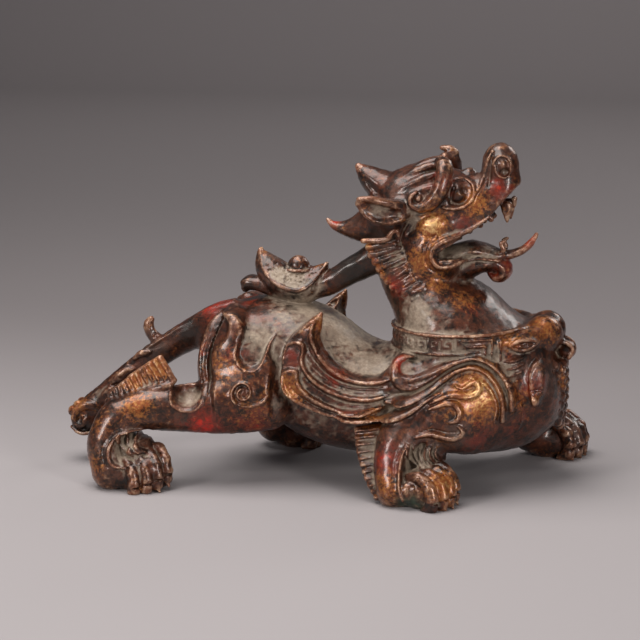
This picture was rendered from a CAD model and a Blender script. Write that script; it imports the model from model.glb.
import math

import bpy
import numpy as np
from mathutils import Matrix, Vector


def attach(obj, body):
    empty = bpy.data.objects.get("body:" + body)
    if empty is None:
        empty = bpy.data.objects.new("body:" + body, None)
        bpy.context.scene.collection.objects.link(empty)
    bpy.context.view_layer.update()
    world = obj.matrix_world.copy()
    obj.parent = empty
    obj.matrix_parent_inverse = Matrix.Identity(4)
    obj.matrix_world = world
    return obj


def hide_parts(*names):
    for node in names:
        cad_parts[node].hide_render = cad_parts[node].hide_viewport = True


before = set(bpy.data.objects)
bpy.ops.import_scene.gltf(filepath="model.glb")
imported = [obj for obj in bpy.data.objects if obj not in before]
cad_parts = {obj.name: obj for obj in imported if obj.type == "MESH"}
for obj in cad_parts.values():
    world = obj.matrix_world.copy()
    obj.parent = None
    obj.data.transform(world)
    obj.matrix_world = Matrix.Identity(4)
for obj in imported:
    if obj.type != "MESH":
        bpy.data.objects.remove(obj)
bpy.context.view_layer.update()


# Trunk and neck.
# The beast is one lost-wax bronze: rolls and pellets of wax are pressed together, the relief is laid on
# and cut in, and the whole is cast as one. The trunk is a full, low body that sags at the back and rises
# into a thick neck. Lengths are in millimetres until the casting, and x runs from the tail to the chest.

NEAR = -1
FAR = 1
BOTH = (NEAR, FAR)
THINNEST = 0.25
wax = []


def smooth_run(stations, step):
    """Stations joined by a smooth curve. A row is a place and then its half sizes."""
    rows = np.array(stations, float)
    gaps = np.linalg.norm(np.diff(rows[:, :3], axis=0), axis=1)
    knots = np.concatenate([[0.0], np.cumsum(np.sqrt(gaps))])
    if len(rows) > 2:
        slopes = np.gradient(rows, knots, axis=0)
    else:
        slopes = np.repeat((rows[1:] - rows[:-1]) / knots[1], 2, 0)
    run = []
    for i, gap in enumerate(gaps):
        pieces = max(1, math.ceil(gap / step))
        span = knots[i + 1] - knots[i]
        for t in np.arange(pieces) / pieces:
            start = (1 + 2 * t) * (1 - t) ** 2 * rows[i] + t * (1 - t) ** 2 * span * slopes[i]
            finish = t * t * (3 - 2 * t) * rows[i + 1] + t * t * (t - 1) * span * slopes[i + 1]
            run.append(start + finish)
    run.append(rows[-1])
    run = np.array(run)
    run[:, 3:] = np.maximum(run[:, 3:], THINNEST)
    return run


def lay_roll(
    stations, blend=1.0, sides=(FAR,), across=(0, 1, 0), fullness=2.0, step=4.0, carve=False, ends=99.0,
):
    """A roll of wax through stations of x, y, z, half width along across, half depth square to it.

    blend is the fillet where it joins the rest. A fullness over 2 squares its section, ends is the most
    that its ends round over, and with carve it is a hollow cut out of the rest. A roll on the middle plane
    needs one side only.
    """
    for side in sides:
        run = smooth_run(stations, step)
        run[:, 1] *= side
        start = run[:-1, :3]
        along = run[1:, :3] - start
        length = np.linalg.norm(along, axis=1)
        along = along / length[:, None]
        width_axis = np.array(across, float) * (1, side, 1)
        width_axis = width_axis - (along @ width_axis)[:, None] * along
        width_axis /= np.linalg.norm(width_axis, axis=1)[:, None]
        wax.append({
            "kind": "roll", "blend": blend, "carve": carve, "fullness": fullness, "ends": ends,
            "start": start, "along": along, "length": length,
            "wide_axis": width_axis, "deep_axis": np.cross(width_axis, along),
            "wide": np.stack([run[:-1, 3], run[1:, 3]], 1),
            "deep": np.stack([run[:-1, 4], run[1:, 4]], 1),
        })


def lay_pellet(centre, radii, turn=0.0, blend=1.0, sides=(FAR,), carve=False, fullness=2.0):
    """An egg of wax, turned in degrees about the cross axis."""
    angle = math.radians(turn)
    axes = np.array([
        [math.cos(angle), 0, -math.sin(angle)], [0, 1, 0], [math.sin(angle), 0, math.cos(angle)],
    ])
    for side in sides:
        wax.append({
            "kind": "pellet", "blend": blend, "carve": carve, "fullness": fullness,
            "centre": np.array(centre, float) * (1, side, 1),
            "radii": np.array(radii, float), "axes": axes,
        })


def press_band(path, height, edge, sides=BOTH, inward=8.0, step=2.5):
    """Raises the skin along a path on the beast's side, or cuts it where height is below zero.

    A row of the path is x, z and half the band's width. edge is the width of its sloping edge, and inward
    the least distance from the middle plane that it reaches.
    """
    rows = np.array(path, float)
    run = smooth_run(np.stack([rows[:, 0], 0 * rows[:, 0], rows[:, 1], rows[:, 2]], 1), step)
    for side in sides:
        wax.append({
            "kind": "band", "height": height, "edge": edge, "side": side, "inward": inward,
            "start": run[:-1, [0, 2]], "stop": run[1:, [0, 2]],
            "half": np.stack([run[:-1, 3], run[1:, 3]], 1),
        })


def press_plate(outline, height, edge, inward, sinks=(-60, -50), fades=(200, 210)):
    """Raises the skin inside a closed outline of x, z places on both sides of the beast.

    It sinks away downward between two heights, and forward between two lengths.
    """
    rows = np.array([*outline, outline[0]], float)
    run = smooth_run(np.stack([rows[:, 0], 0 * rows[:, 0], rows[:, 1]], 1), 2.0)[:, [0, 2]]
    for side in BOTH:
        wax.append({
            "kind": "plate", "height": height, "edge": edge, "side": side, "inward": inward,
            "start": run[:-1], "stop": run[1:], "sinks": sinks, "fades": fades,
        })


# trunk, from the rump to the chest
lay_roll([
    [-56, 0, 72, 22, 20], [-40, 0, 69, 34, 31], [-14, 0, 65, 39, 34], [8, 0, 51.6, 40, 33.4],
    [24, 0, 46.4, 41, 31.6], [40, 0, 45.2, 41, 30.4], [62, 0, 49, 42, 34], [88, 0, 54, 44, 38],
    [112, 0, 58, 41, 37], [127, 0, 61, 33, 29],
], fullness=2.35, ends=12, step=2)
# neck
lay_roll([
    [84, 0, 70, 44.6, 37], [79.4, 0, 84, 43.6, 30.5], [70, 0, 95, 38.6, 25],
    [63.6, 0, 106, 31.4, 22.8], [59, 0, 118, 25.4, 24], [54, 0, 131, 20.4, 23], [50, 0, 143, 18, 20],
], blend=7, step=3)


# Head.
# The head is thrown back with the mouth open: a broad skull, swollen cheeks, a wedge of muzzle that turns
# up into a ball of a nose, and a lower jaw with a curled tuft at the chin. It is built up of rolls and
# pellets, and the mouth is cut right through them.

# skull and muzzle, the ball of the nose and the upper lip
lay_roll([
    [37, 0, 150, 15, 13], [47, 0, 156, 21, 18], [60, 0, 160, 23, 20.5], [74, 0, 159.5, 20, 18],
    [86, 0, 159, 16.5, 15.5], [97, 0, 163, 13, 13], [104, 0, 167, 11, 11],
], blend=5)
lay_pellet([102.8, 0, 179.6], [10.4, 11, 13], turn=-4, blend=4)
lay_pellet([105.4, 0, 170], [7.8, 9.4, 9.6], blend=3)
# lower jaw
lay_roll([
    [60, 0, 128, 21, 16], [71, 0, 122, 19, 12], [82, 0, 122, 15.5, 8.4], [92, 0, 124.4, 13, 6],
    [101, 0, 125, 10, 4.6],
], blend=4)
# cheek and cheekbone, with a crease behind the jaw and one over the cheek
lay_pellet([67, 15, 131], [17.5, 13, 19.5], turn=20, blend=2, sides=BOTH)
lay_pellet([68, 18, 147], [10.6, 8, 7.6], turn=-14, blend=2.5, sides=BOTH)
press_band([
    [57.6, 152.6, 0.6], [52.8, 147, 1.1], [49.8, 140.4, 1.2], [49.6, 133.5, 1.3], [52.2, 126, 1.2],
    [56.8, 118.6, 1.1], [63.6, 113.4, 0.7],
], -1.8, edge=1.4, inward=10)
press_band([
    [80, 148.6, 0.5], [73.4, 142.6, 0.8], [64.4, 142.6, 0.9], [57.4, 146.4, 0.6],
], -0.9, edge=1.6, inward=10)
# the flank of the muzzle, from the cheekbone up to the nose
lay_roll([
    [74, 17.5, 147.5, 4.4, 6], [84, 14.5, 150, 4.4, 6.6], [94, 11.5, 155.5, 4.4, 7],
    [103, 8.5, 163.5, 4, 6.4], [107, 6, 171.5, 3, 4],
], blend=3.5, sides=BOTH)
# lips: one rolled edge that runs round the mouth on each side
press_band([
    [110.6, 161.4, 1.2], [106.8, 158, 1.8], [101.5, 153.4, 2.1], [95.4, 149.2, 2.2],
    [89.6, 145.8, 2.2], [83.4, 143, 2.2], [77.6, 141, 2.2], [72.4, 138.6, 2.2], [69, 134.6, 2.2],
    [69, 129.8, 2.2], [72, 126, 2.1], [78, 125.4, 2], [84.6, 127.4, 2], [91, 129, 2],
    [97.6, 128.4, 1.9], [104, 127.2, 1.7],
], 1.9, edge=1.5, inward=4)
press_band([
    [70.5, 143.4, 0.9], [66, 139, 1.1], [64.4, 132, 1.2], [66.4, 125.6, 1.1], [71.6, 121.6, 0.9],
], -0.9, edge=1)
# the hollow of the mouth runs right through, from the corner forward
lay_roll([
    [74.4, 0, 132, 34, 2.6], [80, 0, 133.6, 34, 4.4], [86, 0, 136, 34, 4.9],
    [91.5, 0, 137.8, 34, 6.2], [97, 0, 139.9, 34, 9], [103, 0, 141.4, 34, 11.9],
    [112, 0, 144.6, 34, 17.4], [124, 0, 149, 34, 24],
], carve=True, blend=1, fullness=4, ends=3, step=3)
# tongue, with its tip curled up out of the mouth, and a little curl of the lip on each side of it
lay_roll([
    [66, 0, 127, 15, 5], [73, 0, 128.6, 17, 4.4], [80, 0, 130.4, 16, 4.6], [87, 0, 132.2, 13.6, 4.6],
    [95, 0, 131.2, 11, 4], [103, 0, 129.2, 8, 3.2], [110, 0, 129.8, 4.8, 2.6],
    [116, 0, 132.4, 3.4, 2.4], [120.6, 0, 136.6, 2.4, 2], [123.6, 0, 141.4, 1.2, 1.2],
], blend=1, step=2.5)
lay_roll([
    [104.5, 5, 129.6, 1.6, 1.6], [105.6, 5.4, 133.4, 1.5, 1.5], [104.2, 5.6, 136.6, 1.2, 1.2],
    [106.4, 5.6, 137.8, 1, 1],
], blend=0.8, sides=BOTH, step=2)
# teeth
lay_roll([
    [107.2, 6.4, 158.4, 2.2, 3.6], [107.6, 7, 153.6, 1.7, 2.4], [107.9, 7.4, 148.8, 0.6, 0.7],
], blend=0.8, sides=BOTH, step=2)
lay_roll([[110.6, 1.6, 161, 1.6, 1.6], [110.8, 1.6, 157, 1, 1]], blend=0.8, sides=BOTH, step=2)
for place in range(4):
    lay_pellet(
        [98.5 - 5.6 * place, 6.4 + 1.9 * place, 150.4 - 3.2 * place], [1.9, 1.4, 1.9],
        turn=-30, blend=0.6, sides=BOTH,
    )
# chin tuft: a hook that curls back under the jaw
lay_roll([
    [98, 0, 125.4, 10, 4], [103.6, 0, 124.4, 9.4, 4.8], [105.8, 0, 120.6, 8.8, 4.6],
    [104.2, 0, 117.6, 8, 3.8], [101, 0, 116.8, 7, 3], [98, 0, 118.4, 5, 1.9],
], blend=1.5, step=2)
press_band([
    [98, 126.6, 0.6], [103.6, 126.2, 0.7], [108, 122.4, 0.7], [107, 117, 0.6],
], -0.6, edge=0.7, inward=1)


def coil(centre, reach, shrink, begins, turns, places, half):
    """A path that winds inward round a centre in x and z, with turns degrees from place to place."""
    path = []
    for n in range(places):
        angle = math.radians(begins - turns * n)
        x = centre[0] + (reach[0] - shrink[0] * n) * math.cos(angle)
        z = centre[1] + (reach[1] - shrink[1] * n) * math.sin(angle)
        path.append([x, z, half])
    return path


# nose: a raised coil round each nostril, and a rim up the back of the ball
press_band(coil((105.2, 180), (5.4, 7), (0.12, 0.16), 170, 30, 13, 1.1), 1.5, edge=0.9, inward=2)
lay_pellet([106.6, 10.4, 177.4], [2.8, 3.4, 2.8], carve=True, blend=0.8, sides=BOTH)
lay_pellet([104.8, 9.4, 181.6], [2.6, 2.2, 2.6], blend=0.6, sides=BOTH)
press_band([
    [91, 165, 0.8], [93.2, 170, 1.5], [94.6, 176, 1.8], [96, 182.4, 1.8], [99.2, 188.6, 1.4],
], 1.5, edge=1.3, inward=1)
press_band([[97.5, 169, 0.8], [98.2, 175, 1.1], [99, 187.4, 0.8]], -1, edge=1, inward=2)
lay_pellet([85.4, 0, 174.4], [3.6, 4.4, 4], blend=3)
# eyes: a ball under a heavy lid, set in a rimmed socket, with a drilled pupil
lay_pellet([82.4, 17.6, 165.4], [7, 4.4, 7.4], carve=True, blend=2, sides=BOTH)
lay_pellet([80.6, 12, 164.6], [5.6, 5.4, 6.2], blend=0.6, sides=BOTH)
lay_pellet([84.8, 16, 167.4], [2.3, 3.4, 2.6], carve=True, blend=0.5, sides=BOTH)
press_band([[79.6, 169.6, 0.5], [78.2, 164, 0.7], [77.4, 160, 0.5]], -0.7, edge=0.6)
press_band([
    [77.2, 172.4, 0.9], [81, 173.8, 1.2], [85.4, 173.2, 1.3], [89, 170.2, 1.4], [90.2, 166, 1.5],
    [88.8, 161.8, 1.5], [84.6, 158.4, 1.5], [79.6, 157.2, 1.4], [73.6, 158.2, 1.1],
], 1.7, edge=1.1)
# brows: thick scrolls that curl back to a small bead
lay_roll([
    [70, 8.5, 181.5, 3.6, 3.8], [73, 14, 180, 5, 5], [73.4, 17.4, 175, 5.4, 5.2],
    [72.2, 19.8, 169, 5.4, 5], [69.2, 21.4, 163.4, 5.2, 4.4], [64.8, 22.6, 159.4, 4.8, 3.6],
    [59.8, 23, 158, 4.4, 2.7], [56, 23, 160.4, 4, 2.1], [56.4, 23, 164.4, 3.4, 1.7],
    [59, 23, 166.4, 2.6, 1.2],
], blend=0.6, sides=BOTH, step=2.5)
lay_roll([
    [72, 14, 181, 4, 4.6], [73.4, 14.4, 184, 3.6, 3.8], [71, 14.6, 186.4, 3, 2.4],
    [67.4, 15, 187, 2, 1.4],
], blend=1, step=2)
lay_pellet([60.4, 23.4, 163], [2.2, 3, 2.2], blend=0.4, sides=BOTH)
press_band([[68.6, 181, 0.6], [68.8, 176, 0.8], [67.8, 170.6, 0.8], [65.6, 165.6, 0.6]], -0.9, edge=0.8)
# combed hair over the crown, swept back from the brow
for spread, rise, girth in ((3.2, 3.6, 3.6), (9.6, 2.2, 3.8), (15, -3, 3.8), (18.6, -9.4, 3)):
    lay_roll([
        [69, spread, 179 + rise, girth * 0.6, 1.8], [61, spread + 1, 176 + rise, girth, 2.7],
        [52.6, spread + 1.6, 171.4 + rise, girth, 2.8],
        [46, spread + 1.4, 166.6 + rise * 0.6, girth * 0.8, 2.2],
        [41.6, spread, 163 + rise * 0.4, girth * 0.5, 1.4],
    ], blend=0.6, sides=BOTH, step=3)
# horn-like locks at the crown and the nape
lay_roll([
    [46, 0, 161, 13, 13], [38, 0, 165, 11.6, 10.4], [31, 0, 169.6, 9, 7.8], [26, 0, 173.4, 6, 5.2],
    [22.4, 0, 177, 2.4, 2.2],
], blend=1.5, step=3, ends=3)
press_band([[27, 171.6, 0.8], [31.4, 167, 2.6], [37, 163, 2.6]], -1.4, edge=2.2, inward=3)
lay_roll([
    [40, 0, 148, 14, 14], [30, 0, 144, 11.6, 11.6], [21.6, 0, 142, 9, 7.6], [13.6, 0, 141.8, 6, 4],
    [7.6, 0, 143.4, 3.2, 2.2], [4.4, 0, 146.4, 1.2, 1],
], blend=1.5, step=3, ends=3)
# ears: cupped leaves with a thick upper lip
lay_roll([
    [54, 20, 156.4, 4, 6], [48, 25.6, 155.4, 5, 7.2], [41, 29.4, 156.4, 5, 7.6],
    [34, 31.6, 159, 4.4, 6.4], [29, 32.6, 161.6, 2.4, 3.4],
], blend=1.2, sides=BOTH, step=3, ends=2.5)
lay_roll([
    [50.6, 31, 154.6, 4.4, 3.6], [45, 34, 154.4, 5, 5.4], [38.4, 36, 156, 5, 5.8],
    [33, 36.6, 158.6, 3.6, 4.2],
], carve=True, blend=0.6, sides=BOTH, step=3)
lay_roll([
    [53.4, 23, 158.6, 2, 2], [48, 28.4, 160.4, 2.2, 2.1], [41.4, 32.4, 161.8, 2.3, 2.1],
    [35.4, 34.4, 163.8, 2, 1.9], [28.6, 34.4, 163.4, 1.4, 1.4],
], blend=0.6, sides=BOTH, step=3)


# Ruff.
# A comb of short strands fans out behind each cheek, laid over the neck one beside the other, under a rim
# that hooks forward below the ear.


def lay_comb(outer, inner, strands, thickness, fill):
    """Strands laid side by side between an outer and an inner edge.

    fill is the half width of a strand as a share of its room.
    """
    outer = smooth_run(outer, 0.8)
    inner = smooth_run(inner, 0.8)
    for strand in range(strands):
        share = (strand + 0.5) / strands
        tip = outer[round(share * (len(outer) - 1))]
        root = inner[round(share * (len(inner) - 1))]
        spacing = np.linalg.norm(outer[-1] - outer[0]) / strands * fill
        gather = np.linalg.norm(inner[-1] - inner[0]) / strands * fill
        along = tip - root
        flat = np.cross(along, (0, 1, 0))
        lay_roll([
            [*root, gather, thickness * 0.7],
            [*((root + tip) / 2), (gather + spacing) / 2, thickness],
            [*tip, spacing, thickness * 0.6],
        ], blend=0.5, sides=BOTH, across=flat / np.linalg.norm(flat), step=4)


lay_comb(
    [
        [30.5, 18.6, 136.4], [32, 19, 130.4], [36, 19.6, 124], [40.6, 20.8, 117.4],
        [46.8, 24.6, 112.2], [53.4, 28.6, 110.4], [60.4, 30, 110.4],
    ],
    [
        [45, 19.5, 137.6], [50, 20.6, 133.4], [52.4, 22.4, 129], [54.6, 24.4, 124], [57.6, 26.6, 119],
        [61.6, 28, 115.4], [66, 28.6, 113.4],
    ],
    strands=10, thickness=2.6, fill=0.52,
)
lay_roll([
    [28.4, 20.5, 138, 1.6, 1.5], [34.4, 21.6, 138.4, 1.9, 1.6], [39.6, 22.4, 138.8, 1.9, 1.6],
    [43.4, 22.8, 140.4, 1.8, 1.5], [45.2, 22.8, 143.4, 1.7, 1.4], [48.2, 22.4, 144.4, 1.5, 1.3],
    [49, 22.2, 141.8, 1.1, 1],
], blend=0.8, sides=BOTH, step=2.5)


# Strap and ingot.
# A broad strap of hair runs from the nape down to the back, where a boat-shaped ingot lies on it: raised
# ends, a domed middle, and flanks pitted by the punch inside a smooth rim.

# strap
lay_roll([
    [42, 0, 132, 11, 10], [30, 0, 124, 10, 8.4], [17, 0, 116.6, 9, 7.4], [5, 0, 109.4, 8.6, 6.6],
    [-10, 0, 104.4, 8.6, 5], [-26, 0, 105.2, 8.6, 4.2], [-36, 0, 108.4, 8.2, 4],
    [-42, 0, 108, 7.4, 3.8], [-43, 0, 105, 6, 1.8],
], fullness=2.8, blend=1.5, step=3)
# ingot: the boat, its rim, the dome in its middle and the pits in its flanks
lay_roll([
    [-34.4, 0, 126, 2.2, 2.4], [-29.6, 0, 117.4, 9, 7.8], [-19, 0, 109, 14, 10.2],
    [-9, 0, 107.4, 14, 10], [-2.4, 0, 112, 9, 7.4], [2.8, 0, 118.8, 2.2, 2.4],
], blend=0.8, step=2.5)
INGOT_RIM = [
    [-34.4, 1.5, 128, 1.2, 1.2], [-32.6, 6, 121, 1.4, 1.4], [-28.4, 10.6, 115, 1.5, 1.5],
    [-19, 14.6, 109, 1.5, 1.5], [-9, 14.6, 107.4, 1.5, 1.5], [-2.8, 10.4, 111.4, 1.4, 1.4],
    [1.6, 5, 117, 1.3, 1.3], [4, 1, 121, 1, 1],
]
lay_roll(INGOT_RIM, blend=0.5, sides=BOTH, step=2.5)
lay_pellet([-12.4, 0, 117.6], [6.6, 6.6, 7.6], blend=0.5)
pits = np.random.default_rng(8)
for pit in range(80):
    x = pits.uniform(-29, -1)
    low = 110.6 + 0.055 * abs(x + 13) ** 1.8
    z = pits.uniform(low, low + 8)
    press_band([[x, z, 0.55], [x + 0.3, z + 0.2, 0.55]], pits.uniform(-1.9, -1.1), edge=0.8, inward=3)
# a ring round the foot of the dome
for turn in range(16):
    ring = []
    for end in (turn, turn + 1):
        angle = math.radians(22.5 * end)
        ring.append([-12.4 + 8.6 * math.cos(angle), 8.6 * math.sin(angle), 117.4, 1, 1])
    lay_roll(ring, blend=0.4, step=9)


# Tail.
# The tail lies back and down from the rump as a keeled strap, throws up a small curl halfway, and ends in
# a rolled scroll beside the hind foot. It clears the ground, so that the feet alone carry the beast.

# the strap of the tail, with a keel on each side
lay_roll([
    [-42, 0, 84, 16, 13], [-58, 0, 83.6, 13, 11], [-68, 0, 80, 10, 9.6], [-79, 0, 75, 8.4, 8.6],
    [-98, 0, 62.5, 8, 7.6], [-115, 0, 50, 8, 6.8], [-130, 0, 36, 8.4, 7.4], [-137, 0, 28, 9.4, 9],
], blend=5, fullness=2.8)
lay_roll([
    [-50, 2, 96, 4, 2.6], [-62, 3, 93, 4, 2], [-79, 4.6, 83, 3, 1.7], [-98, 5, 70.4, 2.6, 1.6],
    [-114, 5, 57.4, 2.4, 1.6], [-128, 5.6, 44, 2.2, 1.6],
], blend=1.2, step=3.5, sides=BOTH)
# the scroll at its end
lay_pellet([-138.6, 0, 24.4], [9.6, 9.6, 10], blend=2, fullness=2.3)
lay_roll([
    [-128, 7, 31, 2.4, 2.4], [-133.6, 8.4, 34, 2.8, 2.8], [-140, 8.4, 32.6, 2.8, 2.8],
    [-144, 8.4, 28.4, 2.6, 2.6], [-143.2, 9, 23.6, 2.4, 2.4], [-139.4, 9.6, 22.6, 2.2, 2.2],
    [-137.4, 9.8, 25.6, 2, 2],
], blend=0.8, sides=BOTH, step=2.5)
lay_pellet([-146.4, 3.6, 29], [3.2, 3.4, 3.4], blend=0.8, sides=BOTH)
lay_pellet([-143, 4.4, 33.4], [3, 3, 2.4], blend=0.8, sides=BOTH)
lay_pellet([-134.4, 5, 36.2], [3.4, 2.6, 2], turn=30, blend=0.8, sides=BOTH)
lay_roll([
    [-146, 8, 20.6, 1.4, 1.2], [-141, 9.4, 17.4, 1.6, 1.3], [-135, 9.6, 17.8, 1.4, 1.2],
], blend=0.8, sides=BOTH, step=2.5)
# the curl halfway, and the locks that lie on its sides
lay_roll([
    [-94, 0, 71, 4.4, 4.4], [-98.2, 0, 74.6, 3.6, 3.6], [-100.8, 0, 78.6, 3.2, 3.2],
    [-101.2, 0, 82.4, 2.9, 2.9], [-99.6, 0, 84.8, 1.8, 1.9],
], blend=1.5, step=2.5)
lay_roll([
    [-96.4, 3, 75, 0.8, 0.8], [-98.8, 3, 79, 1, 1], [-99, 2.6, 83, 0.7, 0.7],
], blend=0.5, sides=BOTH, carve=True, step=2.5)
lay_roll([
    [-123, 8, 47, 1.2, 1.4], [-118.4, 8.6, 51, 2.4, 2.6], [-113.4, 8.6, 55.4, 2.2, 2.2],
    [-108.4, 8, 56.6, 1.2, 1],
], blend=0.5, sides=BOTH, step=2.5)
lay_roll([
    [-127, 8, 40.6, 1.2, 1.2], [-122.4, 8.8, 44.4, 2, 2], [-117.4, 8.6, 45, 1, 1],
], blend=0.5, sides=BOTH, step=2.5)
lay_roll([
    [-108, 8, 63, 1.1, 1.1], [-103.4, 8.6, 66, 2.2, 2.2], [-98.4, 8.4, 67.4, 1, 1],
], blend=0.5, sides=BOTH, step=2.5)


# Legs.
# The beast strides low: the near legs reach back, the far ones are planted ahead. The toes of its broad
# feet are clenched like a fist, a fringe hangs behind the near foreleg and a fin runs along the near hind
# leg. Each leg is a thick roll of wax, and the locks and rims are pressed on last.


def lay_paw(place, heading, side, size=1.0, roll=0.0):
    """A clenched foot that stands on its sole and points along heading, in degrees outward from ahead.

    roll lifts the toes nearer the middle plane, as a slope.
    """
    x, y, z = place
    angle = math.radians(heading)
    ahead = np.array([math.cos(angle), math.sin(angle), 0])
    beside = np.array([-math.sin(angle), math.cos(angle), 0])
    sides = (side,)
    lay_pellet([x, y, z + 8 * size], [12.6 * size, 12.6 * size, 11 * size], blend=3, sides=sides)
    core = np.array([x, y, z + 8.4 * size]) + ahead * 4.8 * size
    lay_pellet(core, [9.6 * size, 9.6 * size, 9.6 * size], blend=2, sides=sides, fullness=2.6)
    for toe in range(4):
        offset = (toe - 1.5) * 6 * size
        reach = (0.4 - abs(toe - 1.4) ** 2 * 0.9) * size
        lift = z - roll * offset

        def at(forward, up):
            flat = np.array([x, y]) + (ahead * (forward * size + reach) + beside * offset)[:2]
            return [*flat, lift + up * size]

        lay_roll([
            [*at(-1, 16.4), 2.3, 2.4], [*at(4.6, 17), 3, 3.2], [*at(9.8, 14), 3, 3.6],
            [*at(12.8, 8.4), 3.1, 3.8], [*at(12.2, 3), 3.1, 3.6], [*at(9, 0.4), 2.8, 3],
        ], blend=0.5, sides=sides, across=beside, step=2.5, ends=2.5, fullness=2.5)
        # knuckles, then the creases between them, then the claw
        for forward, up, girth in ((5, 17, 3.3), (11.6, 12.4, 3.2), (13.4, 7.4, 3.3), (12.8, 2.8, 3.1)):
            knuckle = [girth * size, girth * size, girth * 0.95 * size]
            lay_pellet(at(forward, up), knuckle, blend=0.5, sides=sides)
        for forward, up in ((10.8, 15.8), (16, 6)):
            crease = [[*at(forward, up), 2.6, 0.45], [*at(forward - 1.4, up - 0.8), 2.6, 0.4]]
            lay_roll(crease, blend=0.6, sides=sides, across=beside, step=2.5, carve=True)
        claw = [[*at(13.4, 2), 1.5, 1.4], [*at(15.4, -0.4), 0.8, 0.8]]
        lay_roll(claw, blend=0.4, sides=sides, across=beside, step=2.5)
    # the thumb, folded against the outer side of the fist
    thumb = np.array([x, y]) + (ahead * -1.6 * size + beside * 12.2 * size)[:2]
    thumb_size = [4.4 * size, 3.4 * size, 5.2 * size]
    lay_pellet([*thumb, z + 8.4 * size], thumb_size, turn=25, blend=0.8, sides=sides)


def lay_fin(edge, foot, strands, thick, lift, across, girth=1.0):
    """A thin fin on the near side between its free edge and its foot, with strands on its outer face."""
    edge = smooth_run(edge, 0.5)
    foot = smooth_run(foot, 0.5)
    longest = max(np.linalg.norm(edge[-1] - edge[0]), np.linalg.norm(foot[-1] - foot[0]))
    half = longest / (strands - 1) * 0.62
    out = np.array([0, lift, 0])
    ends = []
    for strand in range(strands):
        share = strand / (strands - 1)
        tip = edge[round(share * (len(edge) - 1))]
        root = foot[round(share * (len(foot) - 1))]
        ends.append((root, tip))
    for root, tip in ends:
        sheet = [[*root, half, thick], [*tip, half, thick * 0.85]]
        lay_roll(sheet, blend=1, sides=(NEAR,), across=across, step=30, ends=1.4)
    for root, tip in ends:
        strand = [[*(root + out), 0.6 * girth, 1.2], [*(tip + out * 0.8), 0.7 * girth, 1.3]]
        lay_roll(strand, blend=0.4, sides=(NEAR,), across=across, step=30)


# near foreleg
lay_roll([
    [86, 44, 45, 15, 20], [67, 51, 41, 14, 16], [55.6, 57, 32, 14, 12], [54, 63, 19, 13, 10.8],
    [56.4, 67, 8, 14, 11],
], blend=5, sides=(NEAR,), fullness=2.3)
lay_pellet([66, 54, 26], [13, 12, 12], blend=4, sides=(NEAR,))
lay_pellet([68, 60, 10], [14, 13, 12], blend=3, sides=(NEAR,))
press_band([
    [70, 32, 3], [66, 26, 4.4], [64.6, 18, 4.4], [65, 9, 3],
], -3.4, edge=2.6, sides=(NEAR,), inward=40)
for lock in range(6):
    x = 62.4 + 2.9 * lock
    press_band([
        [x + 1, 34 - 0.4 * lock, 0.5], [x, 29.6 - 0.2 * lock, 0.9], [x + 1.2, 25, 1.15],
        [x + 4.4, 21.6, 1.1], [x + 7.4, 20, 0.6],
    ], 2.3, edge=0.9, sides=(NEAR,), inward=40, step=2)
lay_paw((71.8, 68, 0.4), 27, NEAR, size=1.1, roll=0.12)
lay_fin(
    [[31, 52, 36.6], [32.4, 55, 28.6], [35.4, 59, 19.8], [39.4, 63.6, 11.4], [45, 68, 3.6]],
    [[46.6, 53, 39.6], [47.4, 56, 31.4], [48.6, 60, 22.6], [50.6, 65, 13.6], [53.6, 69, 5]],
    strands=11, thick=3, lift=2.8, across=(0, 0, 1), girth=1.15,
)
press_band([
    [62.4, 34, 0.7], [59.8, 27, 1.2], [59.4, 19, 1.3], [60, 11.6, 1.3], [62.6, 4.6, 0.9],
], 1.9, edge=0.9, inward=40)
press_band([[59.6, 34.6, 0.5], [57, 27, 0.7], [56.4, 19, 0.7], [57, 11, 0.6]], -0.9, edge=0.9, inward=40)
# far foreleg
lay_roll([
    [92, 36, 46, 15, 20], [104, 48, 28, 14, 15], [115, 58, 15, 13, 12], [122, 63, 10, 13, 11],
], blend=5, sides=(FAR,))
lay_paw((128, 65, 0.4), -16, FAR, size=1.24)
# near hind leg
lay_roll([
    [-26, 34, 50, 16, 20], [-46, 40, 45, 15, 16], [-72, 46, 43.4, 13, 13], [-94, 50, 42, 12.5, 11.6],
    [-107, 53, 35, 13, 11],
], blend=5, sides=(NEAR,), fullness=2.3)
lay_roll([
    [-105, 53, 37, 13, 11], [-110, 57, 25, 14, 11.6], [-106, 59.6, 11, 15, 13],
], blend=3, sides=(NEAR,), fullness=2.3)
lay_pellet([-96, 56, 22], [12, 13, 10], blend=3, sides=(NEAR,))
lay_pellet([-94, 57, 8], [14, 14, 10], blend=3, sides=(NEAR,))
press_band([
    [-88, 30, 3], [-96, 28, 4], [-99.6, 22.6, 4], [-97, 17.6, 3],
], -3, edge=2.4, sides=(NEAR,), inward=40)
for lock in range(3):
    x = -102.4 + 4.2 * lock
    press_band([
        [x + 1.4, 33 - 0.4 * lock, 0.5], [x + 1, 28.8, 1.4], [x + 3.6, 24, 1.6], [x + 8.4, 21.4, 1.5],
        [x + 12, 18.4, 0.8],
    ], 2.6, edge=1, sides=(NEAR,), inward=40, step=2)
lay_paw((-91.6, 59.4, 0.2), 48, NEAR, size=1.12, roll=0.28)
press_band([
    [-89.4, 33.4, 0.6], [-97.6, 32.4, 1.2], [-103.2, 29.4, 1.4], [-105.8, 24, 1.5],
    [-105.2, 18.2, 1.5], [-101.8, 14.8, 1.3], [-96.4, 14, 0.8],
], 1.9, edge=0.9, inward=40)
press_band([
    [-95, 36.4, 0.5], [-103.4, 33.6, 0.7], [-109, 27, 0.7], [-109.4, 19, 0.7], [-105.6, 13, 0.5],
], -0.8, edge=0.9, inward=40)
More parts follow.
